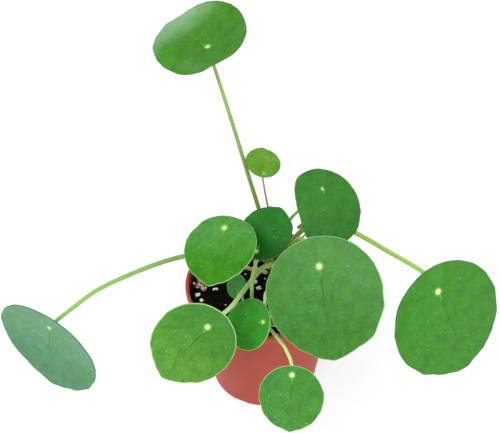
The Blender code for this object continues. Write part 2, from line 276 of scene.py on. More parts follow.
def finished(name, builder, materials, replaces=()):
    """Frees the builder into a piece of the plant that rides on its body."""
    mesh = bpy.data.meshes.new(name)
    builder.to_mesh(mesh)
    builder.free()
    mesh.shade_smooth()
    piece = bpy.data.objects.new(name, mesh)
    bpy.context.scene.collection.objects.link(piece)
    for material in materials:
        mesh.materials.append(material)
    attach(piece, BODY)
    if replaces:
        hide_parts(*replaces)
    return piece


def subdivide(piece, levels):
    smooth = piece.modifiers.new("smooth", "SUBSURF")
    smooth.levels = smooth.render_levels = levels


def wrapped_grid(columns, rows):
    """A bmesh grid whose vertices give two shares: x round the piece and y along it."""
    builder = bmesh.new()
    bmesh.ops.create_grid(builder, x_segments=columns, y_segments=rows, size=0.5)
    bmesh.ops.translate(builder, verts=builder.verts, vec=(0.5, 0.5, 0))
    return builder


def grow_tube(route, sides, swell):
    """A closed tube along (place, radius) pairs. swell(share, turn) scales the radius round and along it.

    Its vertices carry grain, a direction round the tube and the length along it in millimetres, and
    along, the share of the way from its foot.
    """
    builder = wrapped_grid(sides, len(route) - 1)
    grain = builder.verts.layers.float_vector.new("grain")
    along = builder.verts.layers.float.new("along")
    frames, lengths = [], [0.0]
    side = (route[1][0] - route[0][0]).orthogonal().normalized()
    for i, (place, _) in enumerate(route):
        before, after = route[max(0, i - 1)][0], route[min(len(route) - 1, i + 1)][0]
        heading = (after - before).normalized()
        side = (side - heading * side.dot(heading)).normalized()
        frames.append((side, heading.cross(side)))
        if i:
            lengths.append(lengths[-1] + (place - route[i - 1][0]).length)
    for vert in builder.verts:
        turn, i = 2 * math.pi * vert.co.x, round(vert.co.y * (len(route) - 1))
        place, radius = route[i]
        share = lengths[i] / lengths[-1]
        away = frames[i][0] * math.cos(turn) + frames[i][1] * math.sin(turn)
        vert.co = place + away * radius * swell(share, turn)
        vert[grain] = (math.cos(turn), math.sin(turn), lengths[i] / MM)
        vert[along] = share
    bmesh.ops.remove_doubles(builder, verts=builder.verts, dist=MERGE / 10)
    bmesh.ops.holes_fill(builder, edges=[edge for edge in builder.edges if edge.is_boundary])
    bmesh.ops.recalc_face_normals(builder, faces=builder.faces)
    return builder


def rounded_end(route, depth, steps):
    """The route with its last end drawn in to a round tip of this depth."""
    place, radius = route[-1]
    heading = (place - route[-2][0]).normalized()
    dome = []
    for i in range(1, steps + 1):
        turn = math.pi / 2 * i / steps
        dome.append((place + heading * depth * math.sin(turn), max(radius * math.cos(turn), radius * 0.04)))
    return [*route, *dome]


def roughen(builder, verts, scale, depth, seed):
    """Pushes vertices in and out by noise with lumps of about this scale."""
    shift = Vector((seed * 3.7, seed * 1.3, seed * 2.1))
    builder.normal_update()
    pushes = [(vert, vert.normal * depth * noise.noise(vert.co / scale + shift)) for vert in verts]
    for vert, push in pushes:
        vert.co += push


# --- Materials ---------------------------------------------------------------------------------


def linear(hex_colour):
    """An sRGB hex colour as linear RGBA."""
    shares = [int(hex_colour[i : i + 2], 16) / 255 for i in (0, 2, 4)]
    return (*[s / 12.92 if s <= 0.04045 else ((s + 0.055) / 1.055) ** 2.4 for s in shares], 1.0)


def new_material(name, roughness, specular=0.5):
    """A material, its shader with these settings on its own sockets, and a function that adds nodes."""
    material = bpy.data.materials.new(name)
    material.use_nodes = True
    tree = material.node_tree
    shader = tree.nodes["Principled BSDF"]
    shader.inputs["Roughness"].default_value = roughness
    shader.inputs["Specular IOR Level"].default_value = specular

    def add(kind, *inputs, out=0, **settings):
        """Adds a node and returns one of its outputs.

        inputs link or set its sockets in their order. A setting with a capital letter names a socket,
        and any other names a property of the node.
        """
        node = tree.nodes.new(f"ShaderNode{kind}")
        for key in [key for key in settings if key.islower()]:
            setattr(node, key, settings.pop(key))
        for key, value in (dict(enumerate(inputs)) | settings).items():
            if isinstance(value, bpy.types.NodeSocket):
                tree.links.new(value, node.inputs[key])
            else:
                node.inputs[key].default_value = value
        return node.outputs[out]

    return material, shader, add


def finish_material(material, shader, links):
    """Links the shader's inputs by name."""
    for key, value in links.items():
        material.node_tree.links.new(value, shader.inputs[key])
    return material


def ray_pattern(add, lie, bend, rays):
    """A blade's ways ahead, sideways and away from its navel, and off the nearest ray, in millimetres."""
    ahead, sideways = (add("SeparateXYZ", lie, out=axis) for axis in "XY")
    away = add("VectorMath", lie, operation="LENGTH", out="Value")
    turn = add("Math", sideways, ahead, operation="ARCTAN2")
    turn = add("Math", bend, 0.55, turn, operation="MULTIPLY_ADD")
    off_ray = add("Math", turn, math.pi / rays, operation="PINGPONG")
    return ahead, sideways, away, add("Math", off_ray, away, operation="MULTIPLY")


def blade_upper_material(name, look, radius, settings):
    """Living leaf under a waxy cuticle: satin green, with sunken veins, a bright navel and a thin edge."""
    material, shader, add = new_material(f"leaf_cuticle_{name}", look.gloss, 0.2)
    shader.inputs["Sheen Weight"].default_value = look.sheen_and_painted_sheen
    shader.inputs["Sheen Roughness"].default_value = 0.3
    shader.inputs["Sheen Tint"].default_value = linear("DCEEF0")
    size = radius / MM
    lie = add("Attribute", attribute_name="lie", out="Vector")
    edge = add("Attribute", attribute_name="edge", out="Fac")

    # The veins leave the navel in seven soft rays, a little crooked, so the whole pattern is bent by noise.
    bend = add("TexNoise", Vector=lie, Scale=1 / 14, Detail=2.0, out="Fac")
    bend = add("Math", bend, 0.5, operation="SUBTRACT")
    ahead, sideways, away, off_ray = ray_pattern(add, lie, bend, 7)
    ray = add("MapRange", off_ray, 0.1, 0.75, 0.8, 0, interpolation_type="SMOOTHSTEP")
    ray_reach = add("MapRange", ahead, -size * 0.1, size * 0.5, 0, look.rays)
    ray = add("Math", ray, ray_reach, operation="MULTIPLY")

    # The midrib runs from the navel to the tip, thicker than the rays.
    off_rib = add("Math", bend, 3.0, sideways, operation="MULTIPLY_ADD")
    off_rib = add("Math", off_rib, operation="ABSOLUTE")
    rib = add("MapRange", off_rib, 0.2, 0.95, 1, 0, interpolation_type="SMOOTHSTEP")
    rib_reach = add("MapRange", ahead, 0.5, 2.5, 0, 1)
    rib_end = add("MapRange", ahead, size * 0.3, size * 1.3, 1, 0)
    rib_reach = add("Math", rib_reach, rib_end, operation="MULTIPLY")
    rib = add("Math", rib, rib_reach, operation="MULTIPLY")

    # Side veins leave the rays in chevrons, a fifth of the blade's radius apart.
    slant = add("Math", off_ray, -0.9, away, operation="MULTIPLY_ADD")
    slant = add("Math", bend, 6.0, slant, operation="MULTIPLY_ADD")
    off_side = add("Math", slant, size * 0.1, operation="PINGPONG")
    side = add("MapRange", off_side, 0.1, 0.55, 0.5, 0, interpolation_type="SMOOTHSTEP")
    side_reach = add("MapRange", away, size * 0.2, size * 0.45, 0, 1)
    side = add("Math", side, side_reach, operation="MULTIPLY")
    side_lean = add("MapRange", ahead, 0.0, size * 0.6, 0.1, 1)
    side = add("Math", side, side_lean, operation="MULTIPLY")

    # The finest veins close into a net with a mesh of about 3 mm.
    crooked = add("TexNoise", Vector=lie, Scale=0.4, Detail=2.0, out="Color")
    crooked = add("VectorMath", crooked, (1.6, 1.6, 0), operation="MULTIPLY")
    crooked = add("VectorMath", crooked, lie, operation="ADD")
    net = add("TexVoronoi", Vector=crooked, Scale=0.32, feature="DISTANCE_TO_EDGE")
    net = add("MapRange", net, 0.0, 0.14, 0.2, 0)

    veins = add("Math", ray, rib, operation="MAXIMUM")
    veins = add("Math", veins, side, operation="MAXIMUM")
    veins = add("Math", veins, net, operation="MAXIMUM")

    # The green shifts towards the tip and is mottled in patches of about a centimetre.
    lean = add("MapRange", ahead, 0.0, size * 1.2, 0, 1, interpolation_type="SMOOTHSTEP")
    green = add(
        "Mix", Factor=lean, A=linear(look.field), B=linear(look.tip), data_type="RGBA", out="Result",
    )
    patch = add("TexNoise", Vector=lie, Scale=1 / 9, Detail=4.0, Roughness=0.6, out="Fac")
    patch = add("MapRange", patch, 0.3, 0.7, 0.82, 1.18)
    grit = add("TexNoise", Vector=lie, Scale=0.5, Detail=4.0, Roughness=0.6, out="Fac")
    grit = add("MapRange", grit, 0.3, 0.7, 0.86, 1.14)
    # The veins are darkened with painted shade, standing for the shade in their sunken grooves; the patches
    # and grit are the leaf's own mottling.
    shade = add("MapRange", veins, 0, 1, 1.0, 1 - look.veins)
    shade = add("Math", shade, patch, operation="MULTIPLY")
    shade = add("Math", shade, grit, operation="MULTIPLY")
    green = add("VectorMath", green, Scale=shade, operation="SCALE")

    # Here and there a painted soft reflection cools the green in bluish patches.
    painted_reflection = add("TexNoise", Vector=lie, Scale=1 / 22, Detail=2.0, out="Fac")
    painted_reflection = add("MapRange", painted_reflection, 0.45, 0.7, 0, 0.5)
    cooled = add("VectorMath", green, (0.86, 1.0, 1.7), operation="MULTIPLY")
    green = add("Mix", Factor=painted_reflection, A=green, B=cooled, data_type="RGBA", out="Result")

    # Some leaves get a pale band of painted sheen along one side of the edge, a painted reflection where the
    # edge rolls away.
    if look.painted_reflection is not None:
        bearing = math.radians(look.painted_reflection)
        across = add(
            "VectorMath", lie, (math.cos(bearing), math.sin(bearing), 0), operation="DOT_PRODUCT",
            out="Value",
        )
        haze = add("TexNoise", Vector=lie, Scale=1 / 6, Detail=3.0, out="Fac")
        across = add("Math", haze, size * 0.3, across, operation="MULTIPLY_ADD")
        sheen_and_painted_sheen = add("MapRange", across, size * 0.7, size * 1.45, 0, 0.62, interpolation_type="SMOOTHSTEP")
        green = add("Mix", Factor=sheen_and_painted_sheen, A=green, B=linear("A6C8A4"), data_type="RGBA", out="Result")

    # Specks are the water pores, a few tenths of a millimetre wide, drawn twice as wide to show.
    off_pore, chance = (
        add("TexVoronoi", Vector=lie, Scale=0.34, feature="F1", out=out) for out in ("Distance", "Color")
    )
    speck = add("MapRange", off_pore, 0.06, 0.12, 0.85, 0)
    few = add("MapRange", chance, 0.25, 0.65, 0, 1)
    flock = add("TexNoise", Vector=lie, Scale=1 / 11, Detail=1.0, out="Fac")
    flock = add("MapRange", flock, 0.4, 0.58, 0.2, 1)
    speck = add("Math", speck, few, operation="MULTIPLY")
    speck = add("Math", speck, flock, operation="MULTIPLY")
    green = add("Mix", Factor=speck, A=green, B=linear("D2E8C4"), data_type="RGBA", out="Result")

    # The edge is a thin line of thicker, paler or darker tissue.
    line = settings.margin_width / MM
    near_edge = add("MapRange", edge, line * 0.5, line * 1.4, 1, 0)
    green = add("Mix", Factor=near_edge, A=green, B=linear(look.edge), data_type="RGBA", out="Result")

    # The navel is where the stalk shows through: a bright dot in a soft halo, where the ribs start pale.
    dot = settings.dot_radius / MM * (radius / LARGE_BLADE) ** 0.3 * look.spot
    halo = add("MapRange", away, dot * 0.9, dot * 2.2, 0.7, 0, interpolation_type="SMOOTHSTEP")
    pale_rib = add("MapRange", away, dot, dot * 4.5, 0.8, 0)
    ribs = add("Math", rib, ray, operation="MAXIMUM")
    pale_rib = add("Math", pale_rib, ribs, operation="MULTIPLY")
    halo = add("Math", halo, pale_rib, operation="MAXIMUM")
    green = add("Mix", Factor=halo, A=green, B=linear("8CCB52"), data_type="RGBA", out="Result")
    core = add("MapRange", away, dot * 0.7, dot * 1.2, 1, 0, interpolation_type="SMOOTHSTEP")
    green = add("Mix", Factor=core, A=green, B=linear(look.dot), data_type="RGBA", out="Result")

    # The veins lie in shallow grooves, and the cells between them stand up a little.
    height = add("Math", veins, -1.0, grit, operation="MULTIPLY_ADD")
    bump = add("Bump", Height=height, Strength=0.45, Distance=settings.vein_depth, out="Normal")
    gloss = add("MapRange", patch, 0.86, 1.14, look.gloss - 0.05, look.gloss + 0.07)
    return finish_material(material, shader, {"Base Color": green, "Roughness": gloss, "Normal": bump})


def blade_under_material():
    """The leaf's underside: paler and matt, with the veins standing out."""
    material, shader, add = new_material("leaf_underside", 0.62, 0.3)
    lie = add("Attribute", attribute_name="lie", out="Vector")
    bend = add("TexNoise", Vector=lie, Scale=1 / 14, Detail=2.0, out="Fac")
    off_ray = ray_pattern(add, lie, bend, 9)[-1]
    veins = add("MapRange", off_ray, 0.3, 0.9, 1, 0, interpolation_type="SMOOTHSTEP")
    patch = add("TexNoise", Vector=lie, Scale=0.12, Detail=5.0, out="Fac")
    green = add("Mix", Factor=patch, A=linear("7FA968"), B=linear("9DBF86"), data_type="RGBA", out="Result")
    green = add("Mix", Factor=veins, A=green, B=linear("B9CF94"), data_type="RGBA", out="Result")
    bump = add("Bump", Height=veins, Strength=0.5, Distance=0.3 * MM, out="Normal")
    return finish_material(material, shader, {"Base Color": green, "Normal": bump})


def blade_rim_material(name, look):
    """The cut-like edge of the blade: translucent tissue in the edge's own colour."""
    material, shader, add = new_material(f"leaf_rim_{name}", 0.5, 0.35)
    lie = add("Attribute", attribute_name="lie", out="Vector")
    patch = add("TexNoise", Vector=lie, Scale=0.35, Detail=3.0, out="Fac")
    shade = add("MapRange", patch, 0.3, 0.7, 0.8, 1.2)
    green = add("VectorMath", linear(look.edge)[:3], Scale=shade, operation="SCALE")
    return finish_material(material, shader, {"Base Color": green})


def stalk_material(name, foot, head):
    """Living stalk: a smooth juicy skin, paler towards the blade, with long fine streaks."""
    material, shader, add = new_material(f"stalk_skin_{name}", 0.42, 0.2)
    grain = add("Attribute", attribute_name="grain", out="Vector")
    along = add("Attribute", attribute_name="along", out="Fac")
    fibre = add("VectorMath", grain, (1.0, 1.0, 0.05), operation="MULTIPLY")
    streak = add("TexNoise", Vector=fibre, Scale=3.0, Detail=3.0, out="Fac")
    streak = add("MapRange", streak, 0.3, 0.7, 0.86, 1.14)
    freckle = add("TexNoise", Vector=grain, Scale=2.2, Detail=2.0, out="Fac")
    freckle = add("MapRange", freckle, 0.62, 0.72, 0, 0.35)
    skin = add("Mix", Factor=along, A=linear(foot), B=linear(head), data_type="RGBA", out="Result")
    skin = add("VectorMath", skin, Scale=streak, operation="SCALE")
    skin = add("Mix", Factor=freckle, A=skin, B=linear("7A7A48"), data_type="RGBA", out="Result")
    bump = add("Bump", Height=streak, Strength=0.35, Distance=0.25 * MM, out="Normal")
    return finish_material(material, shader, {"Base Color": skin, "Normal": bump})


def stem_material():
    """Half-woody stem: olive skin that turns to brown cork, cracked round the leaf scars."""
    material, shader, add = new_material("stem_cork", 0.72, 0.3)
    grain = add("Attribute", attribute_name="grain", out="Vector")
    along = add("Attribute", attribute_name="along", out="Fac")
    ring = add("VectorMath", grain, (1.0, 1.0, 0.9), operation="MULTIPLY")
    crack = add("TexNoise", Vector=ring, Scale=1.3, Detail=6.0, Roughness=0.65, out="Fac")
    cork = add("MapRange", crack, 0.35, 0.65, 0, 1)
    young = add("Mix", Factor=cork, A=linear("9CB264"), B=linear("76883F"), data_type="RGBA", out="Result")
    old = add("Mix", Factor=cork, A=linear("7A6244"), B=linear("4C3A28"), data_type="RGBA", out="Result")
    bark = add("Mix", Factor=along, A=old, B=young, data_type="RGBA", out="Result")
    bump = add("Bump", Height=crack, Strength=0.7, Distance=0.4 * MM, out="Normal")
    return finish_material(material, shader, {"Base Color": bark, "Normal": bump})


def dried_material():
    """A withered stalk: straw-coloured skin, shrunk into long wrinkles."""
    material, shader, add = new_material("dried_stalk", 0.8, 0.25)
    grain = add("Attribute", attribute_name="grain", out="Vector")
    fibre = add("VectorMath", grain, (1.0, 1.0, 0.12), operation="MULTIPLY")
    wrinkle = add("TexNoise", Vector=fibre, Scale=3.4, Detail=5.0, Roughness=0.6, out="Fac")
    share = add("MapRange", wrinkle, 0.3, 0.7, 0, 1)
    straw = add("Mix", Factor=share, A=linear("B48C5C"), B=linear("F0D6AC"), data_type="RGBA", out="Result")
    bump = add("Bump", Height=wrinkle, Strength=0.8, Distance=0.5 * MM, out="Normal")
    return finish_material(material, shader, {"Base Color": straw, "Normal": bump})


def pot_material(settings):
    """Injection-moulded polypropylene: matt terracotta red, faintly grained, dark where the mix splashed."""
    material, shader, add = new_material("polypropylene_moulded", 0.5, 0.16)
    where = add("TexCoord", out="Object")
    mould_grain = add("TexNoise", Vector=where, Scale=1 / (0.9 * MM), Detail=3.0, out="Fac")
    cloud = add("TexNoise", Vector=where, Scale=1 / (28 * MM), Detail=4.0, out="Fac")
    tone = add("MapRange", cloud, 0.3, 0.7, 0.94, 1.06)
    grit = add("MapRange", mould_grain, 0.3, 0.7, 0.97, 1.03)
    tone = add("Math", tone, grit, operation="MULTIPLY")
    red = add("VectorMath", settings.colour[:3], Scale=tone, operation="SCALE")

    # The rim's worn crest is paler, and a splash of dried mix darkens the wall inside it.
    height = add("SeparateXYZ", where, out="Z")
    crest = add(
        "MapRange", height, POT_HIGH.z - 2.4 * MM, POT_HIGH.z - 0.6 * MM, 0, 0.12,
        interpolation_type="SMOOTHSTEP",
    )
    red = add("Mix", Factor=crest, A=red, B=linear("C87868"), data_type="RGBA", out="Result")
    level = add("VectorMath", where, (1, 1, 0), operation="MULTIPLY")
    radius = add("VectorMath", level, operation="LENGTH", out="Value")
    slope = (POT_HIGH.x - settings.foot_radius) / POT_HIGH.z
    wall = add("Math", height, slope, settings.foot_radius - 0.7 * MM, operation="MULTIPLY_ADD")
    inside = add("Math", radius, wall, operation="LESS_THAN")
    splash = add("TexNoise", Vector=where, Scale=1 / (3 * MM), Detail=5.0, Roughness=0.7, out="Fac")
    near_mix = add("MapRange", height, MIX_HIGH.z - 4 * MM, POT_HIGH.z, 0.25, -0.18)
    dried = add("Math", near_mix, splash, operation="ADD")
    dried = add("MapRange", dried, 0.48, 0.66, 0, 0.9)
    dried = add("Math", dried, inside, operation="MULTIPLY")
    red = add("Mix", Factor=dried, A=red, B=linear("1C0F0A"), data_type="RGBA", out="Result")
    dull = add("MapRange", dried, 0, 1, 0.5, 0.9)
    bump = add("Bump", Height=mould_grain, Strength=0.18, Distance=0.12 * MM, out="Normal")
    return finish_material(material, shader, {"Base Color": red, "Roughness": dull, "Normal": bump})


def peat_material(name, dark, light):
    """Damp peat: nearly black crumbs with brown fibres and a wet glint here and there."""
    material, shader, add = new_material(name, 0.8, 0.12)
    where = add("TexCoord", out="Object")
    crumb = add("TexNoise", Vector=where, Scale=1 / (1.6 * MM), Detail=6.0, Roughness=0.7, out="Fac")
    lump = add("TexVoronoi", Vector=where, Scale=1 / (2.2 * MM), feature="F1", out="Distance")
    share = add("MapRange", crumb, 0.42, 0.72, 0, 1)
    brown = add("Mix", Factor=share, A=linear(dark), B=linear(light), data_type="RGBA", out="Result")
    wet = add("MapRange", crumb, 0.35, 0.6, 0.42, 0.95)
    height = add("Math", crumb, lump, operation="SUBTRACT")
    bump = add("Bump", Height=height, Strength=1.0, Distance=0.8 * MM, out="Normal")
    return finish_material(material, shader, {"Base Color": brown, "Roughness": wet, "Normal": bump})


def bark_material():
    """Composted pine bark: tan, layered, with dark resin between the layers."""
    material, shader, add = new_material("pine_bark", 0.85, 0.25)
    where = add("TexCoord", out="Object")
    layers = add(
        "TexWave", Vector=where, Scale=1 / (5 * MM), Distortion=6.0, Detail=3.0, bands_direction="Z",
        out="Fac",
    )
    pits = add("TexNoise", Vector=where, Scale=1 / (0.8 * MM), Detail=4.0, out="Fac")
    share = add("Math", layers, pits, operation="MULTIPLY")
    share = add("MapRange", share, 0.1, 0.5, 0, 1)
    tan = add("Mix", Factor=share, A=linear("7E5C44"), B=linear("FBE4C8"), data_type="RGBA", out="Result")
    bump = add("Bump", Height=share, Strength=0.7, Distance=0.3 * MM, out="Normal")
    return finish_material(material, shader, {"Base Color": tan, "Normal": bump})


def perlite_material():
    """Expanded perlite: a white, pitted volcanic foam, stained a little by the mix."""
    material, shader, add = new_material("perlite_foam", 0.9, 0.3)
    where = add("TexCoord", out="Object")
    pits = add("TexVoronoi", Vector=where, Scale=1 / (0.6 * MM), feature="F1", out="Distance")
    stain = add("TexNoise", Vector=where, Scale=1 / (1.5 * MM), Detail=4.0, out="Fac")
    stain = add("MapRange", stain, 0.55, 0.7, 0, 0.5)
    white = add("Mix", Factor=stain, A=linear("FFFEFA"), B=linear("B8AC9C"), data_type="RGBA", out="Result")
    bump = add("Bump", Height=pits, Strength=0.6, Distance=0.25 * MM, out="Normal")
    return finish_material(material, shader, {"Base Color": white, "Normal": bump})


def floor_material(settings):
    """A lit white table: it glows a little, so that soft shadows hardly darken it."""
    material, shader, add = new_material("lit_table", 0.9, 0.1)
    where = add("TexCoord", out="Object")
    mottle = add("TexNoise", Vector=where, Scale=3.0, out="Fac")
    white = add(
        "Mix", Factor=mottle, A=linear("9EA0A2"), B=linear("A2A4A6"), data_type="RGBA", out="Result",
    )
    shader.inputs["Emission Color"].default_value = (1.0, 1.0, 1.0, 1.0)
    shader.inputs["Emission Strength"].default_value = settings.floor_glow
    return finish_material(material, shader, {"Base Color": white})


# --- Settings ----------------------------------------------------------------------------------


class PotSettings(bpy.types.PropertyGroup):
    """Sizes and colour of the pot."""

    colour: FloatVectorProperty(
        name="Colour", description="Colour of the moulded plastic", subtype="COLOR", size=4, min=0, max=1,
        default=linear("B24A38"),
    )
    foot_radius: FloatProperty(
        name="Foot radius", description="Outer radius of the wall at the table", unit="LENGTH",
        default=37.6 * MM,
    )
    wall: FloatProperty(name="Wall", description="Thickness of the wall", unit="LENGTH", default=1.5 * MM)
    floor: FloatProperty(
        name="Floor", description="Height of the floor's upper side", unit="LENGTH", default=3.5 * MM,
    )
    rim_width: FloatProperty(
        name="Rim width", description="Width of the bead round the mouth", unit="LENGTH", default=2.4 * MM,
    )
    rim_depth: FloatProperty(
        name="Rim depth", description="Height of the bead round the mouth", unit="LENGTH", default=3.0 * MM,
    )
    foot_round: FloatProperty(
        name="Foot round", description="Radius between the wall and the underside", unit="LENGTH",
        default=2.0 * MM,
    )
    drains: IntProperty(name="Drains", description="Drain holes, each with a groove", default=8, min=3)
    first_drain: FloatProperty(
        name="First drain", description="Bearing of the first drain hole", unit="ROTATION",
        default=math.radians(-118),
    )
    drain_radius: FloatProperty(
        name="Drain radius", description="Radius of a drain hole", unit="LENGTH", default=4 * MM,
    )
    drain_circle: FloatProperty(
        name="Drain circle", description="Radius of the circle of drain holes", unit="LENGTH",
        default=26 * MM,
    )
    groove_width: FloatProperty(
        name="Groove width", description="Width of a drain groove", unit="LENGTH", default=8 * MM,
    )
    groove_height: FloatProperty(
        name="Groove height", description="Height of a drain groove", unit="LENGTH", default=2 * MM,
    )
    steps: IntProperty(name="Steps", description="Steps round the pot", default=192, min=24)


class MixSettings(bpy.types.PropertyGroup):
    """The potting mix and what lies on it."""

    crumbs: IntProperty(name="Crumbs", description="Loose crumbs of peat", default=1500, min=0)
    crumb_size: FloatProperty(
        name="Crumb size", description="Radius of a middling crumb", unit="LENGTH", default=0.75 * MM,
    )
    fibres: IntProperty(name="Fibres", description="Loose peat fibres", default=90, min=0)
    specks: IntProperty(name="Specks", description="Small grains of perlite", default=46, min=0)
    splinters: IntProperty(name="Splinters", description="Small bits of bark", default=20, min=0)
    unevenness: FloatProperty(
        name="Unevenness", description="Height of the lumps in the surface", unit="LENGTH",
        default=0.9 * MM,
    )


class LeafSettings(bpy.types.PropertyGroup):
    """Details of the blades and stalks."""

    segments: IntProperty(name="Segments", description="Steps round a large blade", default=96, min=12)
    rows: IntProperty(name="Rows", description="Steps from the navel to the edge", default=18, min=6)
    margin_width: FloatProperty(
        name="Margin width", description="Width of the line along the edge", unit="LENGTH",
        default=0.35 * MM,
    )
    dot_radius: FloatProperty(
        name="Dot radius", description="Radius of the navel's dot on a large blade", unit="LENGTH",
        default=1.7 * MM,
    )
    vein_depth: FloatProperty(
        name="Vein depth", description="Depth of the grooves over the veins", unit="LENGTH",
        default=0.25 * MM,
    )
    dimple: FloatProperty(
        name="Dimple", description="Depth of the hollow over the stalk", unit="LENGTH", default=0.5 * MM,
    )
    scallop: FloatProperty(
        name="Scallop", description="How far the edge's scallops stand in and out", unit="LENGTH",
        default=0.7 * MM,
    )
    tip_point: FloatProperty(
        name="Tip point", description="How far the blade's tip is drawn out", unit="LENGTH",
        default=0.6 * MM,
    )
    stalk_sides: IntProperty(name="Stalk sides", description="Sides of a stalk", default=16, min=8)
    stalk_step: FloatProperty(
        name="Stalk step", description="Length of a stalk's segments", unit="LENGTH", default=1.5 * MM,
    )


class StageSettings(bpy.types.PropertyGroup):
    """Camera, light and table."""

    target: FloatVectorProperty(
        name="Target", description="The place the camera looks at", subtype="XYZ", unit="LENGTH",
        default=(-0.006, 0, 0.146),
    )
    distance: FloatProperty(
        name="Distance", description="From the camera to the target", unit="LENGTH", default=0.54,
    )
    elevation: FloatProperty(
        name="Elevation", description="How far the camera looks down", unit="ROTATION",
        default=math.radians(40.5),
    )
    roll: FloatProperty(
        name="Roll", description="The camera's turn about its own line of sight", unit="ROTATION",
        default=math.radians(-2.5),
    )
    lens: FloatProperty(name="Lens", description="Focal length in millimetres", default=61.2)
    floor_glow: FloatProperty(
        name="Floor glow", description="Light that the table gives off by itself", default=0.74,
    )
    sky: FloatProperty(name="Sky", description="Strength of the light from all round", default=0.55)


SETTINGS = {
    "money_plant_pot": PotSettings,
    "money_plant_mix": MixSettings,
    "money_plant_leaf": LeafSettings,
    "money_plant_stage": StageSettings,
}


# --- Pieces ------------------------------------------------------------------------------------


def pot_profile(settings):
    """(radius, height) points of the wall, from the middle of the floor over the rim to the underside."""
    rim = POT_HIGH.x
    top = POT_HIGH.z

    def outer(height):
        return settings.foot_radius + (rim - settings.foot_radius) * height / top

    def arc(centre, radius, start, end, count):
        turns = [math.radians(start + (end - start) * i / count) for i in range(count + 1)]
        return [(centre[0] + radius * math.cos(t), centre[1] + radius * math.sin(t)) for t in turns]

    bead = settings.rim_width / 2
    below = top - settings.rim_depth
    foot = settings.foot_round
    fillet = 1.6 * settings.wall
    inner = outer(settings.floor + fillet) - settings.wall
    profile = [(0, settings.floor), (settings.drain_circle, settings.floor)]
    profile += arc((inner - fillet, settings.floor + fillet), fillet, -90, 0, 5)
    steps = 12
    for i in range(1, steps + 1):
        height = settings.floor + fillet + (below - settings.wall - settings.floor - fillet) * i / steps
        profile.append((outer(height) - settings.wall, height))
    profile += arc((rim - bead, top - bead), bead, 180, 0, 10)
    profile += [(rim, below + 0.3 * MM), (rim - 0.25 * MM, below - 0.1 * MM)]
    for i in range(steps):
        height = below - 0.6 * MM - (below - 0.6 * MM - foot) * i / steps
        profile.append((outer(height), height))
    profile += arc((outer(foot) - foot, foot), foot, -5, -90, 6)
    return [*profile, (settings.drain_circle, 0), (0, 0)]


def cut_away(piece, builders):
    """Cuts each closed bmesh out of the piece and bakes the result into its mesh."""
    cutters = []
    for i, builder in enumerate(builders):
        mesh = bpy.data.meshes.new(f"cutter_{i}")
        builder.to_mesh(mesh)
        builder.free()
        cutter = bpy.data.objects.new(f"cutter_{i}", mesh)
        bpy.context.scene.collection.objects.link(cutter)
        cutters.append(cutter)
        cut = piece.modifiers.new(cutter.name, "BOOLEAN")
        cut.operation = "DIFFERENCE"
        cut.solver = "EXACT"
        cut.object = cutter
    shown = piece.evaluated_get(bpy.context.evaluated_depsgraph_get())
    piece.data = bpy.data.meshes.new_from_object(shown)
    piece.modifiers.clear()
    for cutter in cutters:
        bpy.data.objects.remove(cutter)


def build_pot(settings):
    builder = bmesh.new()
    points = [builder.verts.new((radius, 0, height)) for radius, height in pot_profile(settings)]
    edges = [builder.edges.new(pair) for pair in zip(points, points[1:])]
    bmesh.ops.spin(
        builder, geom=[*points, *edges], cent=(0, 0, 0), axis=(0, 0, 1), angle=2 * math.pi,
        steps=settings.steps, use_merge=True,
    )
    bmesh.ops.remove_doubles(builder, verts=builder.verts, dist=MERGE / 10)
    bmesh.ops.recalc_face_normals(builder, faces=builder.faces)
    pot = finished("pot_shell", builder, [pot_material(settings)], ["pot"])

    holes, grooves = bmesh.new(), bmesh.new()
    reach = settings.foot_radius + 2 * MM - settings.drain_circle
    for i in range(settings.drains):
        turn = Matrix.Rotation(settings.first_drain + 2 * math.pi * i / settings.drains, 4, "Z")
        bmesh.ops.create_cone(
            holes, cap_ends=True, segments=36, radius1=settings.drain_radius,
            radius2=settings.drain_radius, depth=4 * settings.floor,
            matrix=turn @ Matrix.Translation((settings.drain_circle, 0, 0)),
        )
        place = turn @ Matrix.Translation((settings.drain_circle + reach / 2, 0, 0))
        size = Matrix.Diagonal((reach, settings.groove_width, 2 * settings.groove_height, 1))
        cube = bmesh.ops.create_cube(grooves, size=1, matrix=place @ size)["verts"]
        upper = [e for v in cube for e in v.link_edges if all(w.co.z > 0 for w in e.verts)]
        bmesh.ops.bevel(
            grooves, geom=list(dict.fromkeys(upper)), offset=0.5 * MM, affect="EDGES", segments=3,
            profile=0.5, material=-1,
        )
    cut_away(pot, [holes, grooves])
    pot.data.set_sharp_from_angle(angle=math.radians(40))
    return pot


def mix_height(radius):
    """The height of the mix's surface, read from the frame: level at the wall, and domed to the middle."""
    share = min(1.0, radius / (0.75 * MIX_HIGH.x))
    dome = MIX_HIGH.z - MIX_LEVEL
    return MIX_LEVEL + dome * (0.5 + 0.5 * math.cos(math.pi * share))


